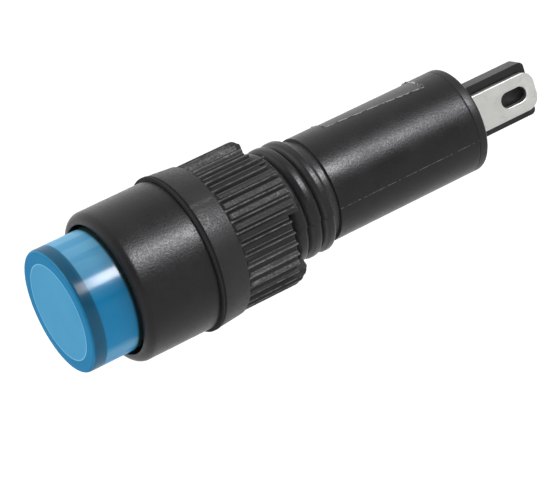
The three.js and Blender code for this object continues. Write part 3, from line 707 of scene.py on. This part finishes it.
def build_housing(material):
    mesh = bmesh.new()
    thetas = housing_columns()
    ends = (0.0, NECK_END)
    add_thread(mesh, CORE_RADIUS, CREST_RADIUS, RIDGE_HALVES, THREAD_SPAN, ends, thetas, mould_shift)
    add_turned(mesh, [(CORE_RADIUS, NECK_END), (BARREL_RADIUS, NECK_END)], thetas)
    add_wall(mesh, barrel_rows(thetas))
    edge = BARREL_END_ROUND
    rear_end = [*arc(BARREL_RADIUS - edge, BARREL_END - edge, edge, 0, 90, 3), (BORE_RADIUS, BARREL_END)]
    inside = [
        (BORE_RADIUS, HEAD_FLOOR),
        (SOCKET_RADIUS, HEAD_FLOOR),
        (SOCKET_RADIUS, SNAP_Y + SNAP_HALF_LENGTH),
        (SNAP_GROOVE_RADIUS, SNAP_Y + SNAP_HALF_LENGTH),
        (SNAP_GROOVE_RADIUS, SNAP_Y - SNAP_HALF_LENGTH),
        (SOCKET_RADIUS, SNAP_Y - SNAP_HALF_LENGTH),
    ]
    mouth = arc(SOCKET_RADIUS + SOCKET_ROUND, HEAD_FRONT + SOCKET_ROUND, SOCKET_ROUND, 180, 270, 4)
    nose = arc(HEAD_RADIUS - HEAD_ROUND, HEAD_FRONT + HEAD_ROUND, HEAD_ROUND, -90, 0, 10)
    step = HEAD_SIDE_LENGTH / HEAD_SIDE_ROWS
    side = [(HEAD_RADIUS, HEAD_FRONT + HEAD_ROUND + step * i) for i in range(1, HEAD_SIDE_ROWS)]
    tail = arc(HEAD_RADIUS - HEAD_REAR_ROUND, -HEAD_REAR_ROUND, HEAD_REAR_ROUND, 0, 90, 4)
    add_turned(mesh, [*rear_end, *inside, *mouth, *nose, *side, *tail, (CORE_RADIUS, 0.0)], thetas)
    return finish_piece("housing_fine", mesh, "housing", "housing", material)


# ---------------------------------------------------------------- lens end


def build_lens(material):
    mesh = bmesh.new()
    edge = LENS_EDGE_ROUND
    hollow_floor = LENS_FACE + LENS_FRONT_WALL
    outline = [
        (0.0, LENS_FACE),
        *[(LENS_RADIUS * share, LENS_FACE) for share in (0.3, 0.6, 0.85)],
        *arc(LENS_RADIUS - edge, LENS_FACE + edge, edge, -90, 0, 8),
        (LENS_RADIUS, LENS_FACE + 3.0),
        (LENS_RADIUS, SNAP_Y - SNAP_HALF_LENGTH),
        *arc(SNAP_BEAD_RADIUS - SNAP_BEAD_ROUND, SNAP_Y, SNAP_BEAD_ROUND, -70, 70),
        (LENS_RADIUS, SNAP_Y + SNAP_HALF_LENGTH),
        (LENS_RADIUS, LENS_REAR),
        (LENS_HOLLOW_RADIUS, LENS_REAR),
        *arc(LENS_HOLLOW_RADIUS - 0.12, hollow_floor + 0.12, 0.12, 0, -90, 4),
        (0.0, hollow_floor),
    ]
    add_turned(mesh, outline, even_columns())
    return finish_piece("lens_fine", mesh, "lens", "housing", material, 50)


def build_diffuser(material):
    mesh = bmesh.new()
    contact = 0.004  # the cup is moulded against the lens, with no air between them
    face = LENS_FACE + LENS_FRONT_WALL - contact
    radius = LENS_HOLLOW_RADIUS + contact
    rear = highest("diffuser").y
    inner = DIFFUSER_RADIUS - DIFFUSER_WALL
    outline = [
        (0.0, face),
        *arc(radius - 0.12, face + 0.12, 0.12, -90, 0, 5),
        (radius, rear - 0.1),
        (radius - 0.1, rear),
        (inner + 0.1, rear),
        (inner, rear - 0.1),
        *arc(inner - 0.3, face + DIFFUSER_WALL + 0.3, 0.3, 0, -90, 4),
        (0.0, face + DIFFUSER_WALL),
    ]
    add_turned(mesh, outline, even_columns(96))
    return finish_piece("diffuser_fine", mesh, "diffuser", "housing", material, 50)


# ---------------------------------------------------------------- washer and lock nut


def build_washer(material):
    mesh = bmesh.new()
    front = lowest("gasket_washer").y
    rear = highest("gasket_washer").y
    outer = highest("gasket_washer").x
    inner = 5.08
    edge = 0.05
    outline = [
        *arc(outer - edge, front + edge, edge, -90, 0, 4),
        *arc(outer - edge, rear - edge, edge, 0, 90, 4),
        *arc(inner + edge, rear - edge, edge, 90, 180, 4),
        *arc(inner + edge, front + edge, edge, 180, 270, 4),
    ]
    add_turned(mesh, [*outline, outline[0]], even_columns())
    return finish_piece("gasket_washer_fine", mesh, "gasket_washer", "washer", material)


def rib_height(column):
    """0 in a groove and 1 on a rib's top, by the column round the nut."""
    share = abs((column / RIB_COLUMNS) % 1 - 0.5)
    return 1 - smoothstep(0.0, RIB_FLANK, share)


def notch_ragged(theta):
    """Height of the torn moulding left on the floor of the top notch."""
    place = (math.degrees(theta - RIB_THETA) + 180) % 360 - 180
    lump = 1 - smoothstep(6.0, 11.0, abs(place + 30))
    return lump * min(0.95, max(0.05, 0.5 + 1.7 * noise.noise(Vector((place * 0.55, 2.0, 4.0)))))


def rib_row(thetas, y, limit=RIB_RADIUS, foot=1.0):
    """Points round the ribbed grip. foot is the share of the grooves' full depth."""
    row = []
    for column, theta in enumerate(thetas):
        depth = (RIB_RADIUS - RIB_GROOVE_RADIUS) * foot
        radius = min(limit, RIB_RADIUS - depth * (1 - rib_height(column)))
        row.append(around(radius, theta, y))
    return row


def notch_row(thetas):
    """The row of the grip at the notches' floors, lifted where moulding is left."""
    row = rib_row(thetas, NUT_NOTCH_Y)
    return [point + Vector((0.0, notch_ragged(theta), 0.0)) for point, theta in zip(row, thetas)]


def add_nut_outside(mesh, thetas):
    """The front face, the plain band and the ribbed grip, up to the notches' floors."""
    edge = NUT_EDGE_ROUND
    front = [
        (NUT_BORE_RADIUS, NUT_FRONT + NUT_MOUTH_DEPTH),
        (NUT_MOUTH_RADIUS, NUT_FRONT),
        *arc(NUT_FRONT_RADIUS - edge, NUT_FRONT + edge, edge, -90, 0, 4),
        (NUT_BAND_RADIUS + 0.12, NUT_TAPER_END),
        *arc(NUT_BAND_RADIUS - edge, NUT_BAND_END - edge, edge, 0, 60, 3),
    ]
    add_turned(mesh, front, thetas)
    radius, y = front[-1]
    rows = [[around(radius, theta, y) for theta in thetas]]
    start = NUT_BAND_END + 0.02
    steps = 5
    for i in range(steps + 1):
        foot = math.sin(math.pi / 2 * i / steps)
        rows.append(rib_row(thetas, start + RIB_RUN_OUT * i / steps, foot=foot))
    full_start = start + RIB_RUN_OUT
    full_length = NUT_NOTCH_Y - 0.06 - full_start
    grip_rows = 8
    for i in range(1, grip_rows + 1):
        rows.append(rib_row(thetas, full_start + full_length * i / grip_rows))
    add_wall(mesh, [*rows, notch_row(thetas)])


def add_nut_rear(mesh, thetas):
    """The four lands, up the ribs, over the rounded rim and down the bore, and the notches' floors."""
    rim = arc(RIB_RADIUS - NUT_END_ROUND, NUT_END - NUT_END_ROUND, NUT_END_ROUND, 0, 90, 8)
    inner_edge = arc(NUT_BORE_RADIUS + NUT_BORE_ROUND, NUT_END - NUT_BORE_ROUND, NUT_BORE_ROUND, 90, 180, 3)
    rows = [notch_row(thetas)]
    rows += [rib_row(thetas, y, limit=radius) for radius, y in rim]
    rows += [[around(radius, theta, y) for theta in thetas] for radius, y in inner_edge]
    rows += [[around(NUT_BORE_RADIUS, theta, NUT_NOTCH_Y) for theta in thetas]]
    count = len(thetas)
    spacing = count // NUT_LANDS
    width = LAND_RIBS * RIB_COLUMNS
    for land in range(NUT_LANDS):
        begin = land * spacing - width // 2
        on_land = [(begin + i) % count for i in range(width + 1)]
        off_land = [(begin + width + i) % count for i in range(spacing - width + 1)]
        add_wall(mesh, [[row[i] for i in on_land] for row in rows], closed=False)
        add_wall(mesh, [[row[i] for i in off_land] for row in (rows[0], rows[-1])], closed=False)
        for i in (on_land[0], on_land[-1]):
            mesh.faces.new([mesh.verts.new(row[i]) for row in rows])


def build_nut(material):
    mesh = bmesh.new()
    thetas = even_columns(RIBS * RIB_COLUMNS, RIB_THETA - TURN / RIBS / 2)
    add_nut_outside(mesh, thetas)
    add_nut_rear(mesh, thetas)
    add_thread(
        mesh,
        NUT_BORE_RADIUS,
        NUT_RIDGE_RADIUS,
        NUT_RIDGE_HALVES,
        NUT_THREAD_SPAN,
        (NUT_FRONT + NUT_MOUTH_DEPTH, NUT_NOTCH_Y),
        thetas,
        half_pitch,
    )
    return finish_piece("lock_nut_fine", mesh, "lock_nut", "nut", material, 50)


# ---------------------------------------------------------------- terminal end


def add_plate(mesh, outline, x_low, x_high):
    """A plate across X whose outline is (y, z) points in order."""
    low = [mesh.verts.new((x_low, y, z)) for y, z in outline]
    high = [mesh.verts.new((x_high, y, z)) for y, z in outline]
    mesh.faces.new(low)
    mesh.faces.new(high)
    for i in range(len(outline)):
        j = (i + 1) % len(outline)
        mesh.faces.new((low[i], low[j], high[j], high[i]))


def cut_or_join(base, tool, operation):
    """Joins or cuts base with tool, both in bmesh, and returns a new bmesh."""
    objects = []
    for mesh in (base, tool):
        bmesh.ops.recalc_face_normals(mesh, faces=mesh.faces)
        data = bpy.data.meshes.new("boolean_step")
        mesh.to_mesh(data)
        mesh.free()
        step = bpy.data.objects.new("boolean_step", data)
        bpy.context.scene.collection.objects.link(step)
        objects.append(step)
    modifier = objects[0].modifiers.new("boolean", "BOOLEAN")
    modifier.object = objects[1]
    modifier.operation = operation
    modifier.solver = "EXACT"
    evaluated = objects[0].evaluated_get(bpy.context.evaluated_depsgraph_get())
    result = bmesh.new()
    result.from_mesh(evaluated.to_mesh())
    for step in objects:
        bpy.data.objects.remove(step)
    return result


def base_body():
    """The spigot and flange, turned round the axis."""
    flange_start = BARREL_END + FLANGE_GAP
    small, edge = FLANGE_FRONT_ROUND, BASE_ROUND
    outline = [
        (0.0, BASE_START),
        (SPIGOT_RADIUS, BASE_START),
        (SPIGOT_RADIUS, flange_start),
        *arc(BARREL_RADIUS - small, flange_start + small, small, -90, 0, 3),
        *arc(BARREL_RADIUS - edge, BASE_END - edge, edge, 0, 90, 8),
        (BARREL_RADIUS - edge - 0.1, BASE_END),
        (0.0, BASE_END),
    ]
    body = bmesh.new()
    add_turned(body, outline, even_columns(160))
    bmesh.ops.remove_doubles(body, verts=body.verts, dist=MERGE)
    return body


def base_wall():
    """The wall between the lugs, with its foot inside the flange."""
    corner = WALL_CORNER
    foot = BASE_END - 1.0
    outline = [(foot, -WALL_HALF_WIDTH)]
    outline += arc(WALL_END - corner, -WALL_HALF_WIDTH + corner, corner, -90, 0, 5)
    outline += arc(WALL_END - corner, WALL_HALF_WIDTH - corner, corner, 0, 90, 5)
    outline += [(foot, WALL_HALF_WIDTH)]
    wall = bmesh.new()
    add_plate(wall, outline, -WALL_HALF_THICKNESS, WALL_HALF_THICKNESS)
    return wall


def base_slot(side):
    """The slot that a lug passes through, cut right through the base."""
    clearance = 0.04
    half = LUG_SHOULDER_HALF - 0.37
    low, high = BASE_START - 1, BASE_END + 1
    faces = sorted((side * (LUG_INNER_FACE - clearance), side * (LUG_OUTER_FACE + clearance)))
    slot = bmesh.new()
    add_plate(slot, [(low, -half), (high, -half), (high, half), (low, half)], *faces)
    return slot


def build_base(material):
    joined = cut_or_join(base_body(), base_wall(), "UNION")
    for side in (1, -1):
        joined = cut_or_join(joined, base_slot(side), "DIFFERENCE")
    # Flat faces are merged and weighted, so that they shade flat.
    bmesh.ops.dissolve_limit(joined, angle_limit=math.radians(0.5), verts=joined.verts, edges=joined.edges)
    return finish_piece(
        "terminal_base_fine",
        joined,
        "terminal_base",
        "housing",
        material,
        20,
        [soft_edges(0.05, 2), ("WEIGHTED_NORMAL", {"weight": 100})],
    )


def lug_outline():
    half = LUG_HALF_WIDTH
    corner = LUG_CORNER
    front, rear = LUG_SHOULDER
    return [
        (LUG_TAIL, -LUG_TAIL_HALF),
        (front, -LUG_TAIL_HALF),
        (front, -LUG_SHOULDER_HALF),
        (rear, -LUG_SHOULDER_HALF),
        (rear, -half),
        *arc(LUG_TIP - corner, -half + corner, corner, -90, 0, 10),
        *arc(LUG_TIP - corner, half - corner, corner, 0, 90, 10),
        (rear, half),
        (rear, LUG_SHOULDER_HALF),
        (front, LUG_SHOULDER_HALF),
        (front, LUG_TAIL_HALF),
        (LUG_TAIL, LUG_TAIL_HALF),
    ]


def build_lug(node, side, material):
    x_low, x_high = sorted((side * LUG_INNER_FACE, side * LUG_OUTER_FACE))
    blade = bmesh.new()
    add_plate(blade, lug_outline(), x_low, x_high)
    slot = bmesh.new()
    slot_outline = arc(LUG_SLOT_CENTRE + LUG_SLOT_REACH, 0.0, LUG_SLOT_HALF, -90, 90, 14)
    slot_outline += arc(LUG_SLOT_CENTRE - LUG_SLOT_REACH, 0.0, LUG_SLOT_HALF, 90, 270, 14)
    add_plate(slot, slot_outline, x_low - 1, x_high + 1)
    cut = cut_or_join(blade, slot, "DIFFERENCE")
    edges = soft_edges(0.06, 3, 50)
    return finish_piece(f"{node}_fine", cut, node, "housing", material, 40, [edges])


# ---------------------------------------------------------------- the lamp

nylon = black_plastic(
    "housing_nylon",
    dark=(0.010, 0.0093, 0.0102),
    pale=(0.015, 0.0141, 0.0153),
    roughness=(0.30, 0.46),
    grain_depth=0.026,
    marks=housing_marks,
)
nut_nylon = black_plastic("nut_nylon", NUT_DARK, NUT_PALE, (0.36, 0.60), 0.030, nut_marks)
base_nylon = black_plastic(
    "base_nylon",
    dark=(0.015, 0.015, 0.0155),
    pale=(0.022, 0.0215, 0.0225),
    roughness=(0.36, 0.50),
    grain_depth=0.020,
)
acrylic = blue_acrylic()
moulding = white_moulding()
tin = tin_plate()
solder = solder_metal()

build_housing(nylon)
build_lens(acrylic)
build_diffuser(moulding)
build_washer(rubber())
build_nut(nut_nylon)
build_base(base_nylon)
build_lug("lug_a", 1, tin)
build_lug("lug_b", -1, tin)

# The pieces inside the barrel keep their CAD shapes.
sleeve = lacquer("sleeve_polymer", (0.018, 0.018, 0.019), (0.032, 0.032, 0.034), 0.45, 0.62)
inner_finishes = {
    "led_holder": moulding,
    "led_body": clear_epoxy(),
    "resistor_body": lacquer("resistor_lacquer", (0.17, 0.36, 0.40), (0.24, 0.46, 0.50), 0.30, 0.45),
    "diode_body": lacquer("diode_epoxy", (0.012, 0.012, 0.013), (0.024, 0.024, 0.026), 0.35, 0.5),
    "sleeve_anode": sleeve,
    "sleeve_cathode": sleeve,
    "solder_anode": solder,
    "solder_cathode": solder,
    "solder_lug_a": solder,
    "solder_lug_b": solder,
}
for name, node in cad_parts.items():
    if node.hide_render:
        continue
    node.material_slots[0].link = "OBJECT"
    node.material_slots[0].material = inner_finishes.get(name, tin)

# ---------------------------------------------------------------- stage, light and camera

CAMERA_PLACE = Vector((196.7, -83.7, 69.7)) * MM
CAMERA_AIM = Vector((-0.28, 9.22, -3.17)) * MM
CAMERA_ROLL = math.radians(-17.75)
FLOOR_Z = -40 * MM
FLOOR_HALF_WIDTH = 4.0  # metres


def aimed(place, target, roll=0.0):
    """The placing of something that looks from place to target, rolled about its line of sight."""
    turn = (target - place).to_track_quat("-Z", "Y").to_matrix().to_4x4()
    return Matrix.Translation(place) @ turn @ Matrix.Rotation(roll, 4, "Z")


def add_softbox(name, place_mm, size_mm, power, colour):
    """A lit panel beside the lamp that only shows as highlights, facing the lamp's axis.

    size_mm is its width round the axis and its length along it."""
    data = bpy.data.lights.new(name, "AREA")
    data.shape = "RECTANGLE"
    data.size, data.size_y = [side * MM for side in size_mm]
    data.energy = power
    data.color = colour
    light = bpy.data.objects.new(name, data)
    place = Vector(place_mm) * MM
    facing = Vector((place.x, 0.0, place.z)).normalized()
    along = Vector((0.0, 1.0, 0.0))
    turn = Matrix((along.cross(facing), along, facing)).transposed().to_4x4()
    light.matrix_world = Matrix.Translation(place) @ turn
    light.visible_camera = False
    light.visible_diffuse = False
    bpy.context.scene.collection.objects.link(light)


def add_floor():
    mesh = bmesh.new()
    bmesh.ops.create_grid(mesh, x_segments=8, y_segments=8, size=FLOOR_HALF_WIDTH)
    data = bpy.data.meshes.new("floor")
    mesh.to_mesh(data)
    mesh.free()
    floor = bpy.data.objects.new("floor", data)
    floor.location.z = FLOOR_Z
    surface = Surface("floor_paper")
    clouds = surface.noise(60.0)
    surface.paint(surface.colour(clouds, [(0.2, (0.90, 0.90, 0.90)), (0.9, (0.92, 0.92, 0.92))]))
    surface.gloss(clouds, 0.2, 0.9, 0.85, 0.95)
    data.materials.append(surface.material)
    bpy.context.scene.collection.objects.link(floor)


def add_overhead(name, direction, irradiance, spread_degrees):
    """Even soft light from above, without highlights, so that the floor is as bright everywhere."""
    data = bpy.data.lights.new(name, "SUN")
    data.energy = irradiance
    data.angle = math.radians(spread_degrees)
    light = bpy.data.objects.new(name, data)
    light.matrix_world = aimed(Vector(direction), Vector((0.0, 0.0, 0.0)))
    light.visible_glossy = False
    bpy.context.scene.collection.objects.link(light)


def add_world():
    """A studio that is bright behind the lamp and dimmer in front of it."""
    world = bpy.data.worlds.new("studio")
    bpy.context.scene.world = world
    world.use_nodes = True
    tree = world.node_tree
    place = tree.nodes.new("ShaderNodeTexCoord")
    behind = tree.nodes.new("ShaderNodeVectorMath")
    behind.operation = "DOT_PRODUCT"
    behind.inputs[1].default_value = (-1.0, 0.0, 0.35)
    share = tree.nodes.new("ShaderNodeMapRange")
    share.inputs["From Min"].default_value = -1.0
    ramp = tree.nodes.new("ShaderNodeValToRGB")
    tree.links.new(place.outputs["Generated"], behind.inputs[0])
    tree.links.new(behind.outputs["Value"], share.inputs["Value"])
    tree.links.new(share.outputs["Result"], ramp.inputs["Fac"])
    tree.links.new(ramp.outputs["Color"], tree.nodes["Background"].inputs["Color"])
    dim, bright = ramp.color_ramp.elements
    dim.position = 0.30
    dim.color = (0.42, 0.42, 0.43, 1.0)
    bright.position = 0.88
    bright.color = (1.4, 1.4, 1.4, 1.0)


add_floor()
add_overhead("key", direction=(-0.2, -0.75, 0.62), irradiance=1.55, spread_degrees=30)
add_softbox("strip", place_mm=(168, 99, 141), size_mm=(65, 86), power=1.07, colour=(0.985, 0.965, 1.0))
add_world()

camera_data = bpy.data.cameras.new("camera")
camera_data.lens = 180
camera_data.sensor_width = 36
camera_data.clip_start = 0.01
camera = bpy.data.objects.new("camera", camera_data)
camera.matrix_world = aimed(CAMERA_PLACE, CAMERA_AIM, CAMERA_ROLL)
bpy.context.scene.collection.objects.link(camera)
bpy.context.scene.camera = camera
bpy.context.scene.view_settings.view_transform = "Standard"
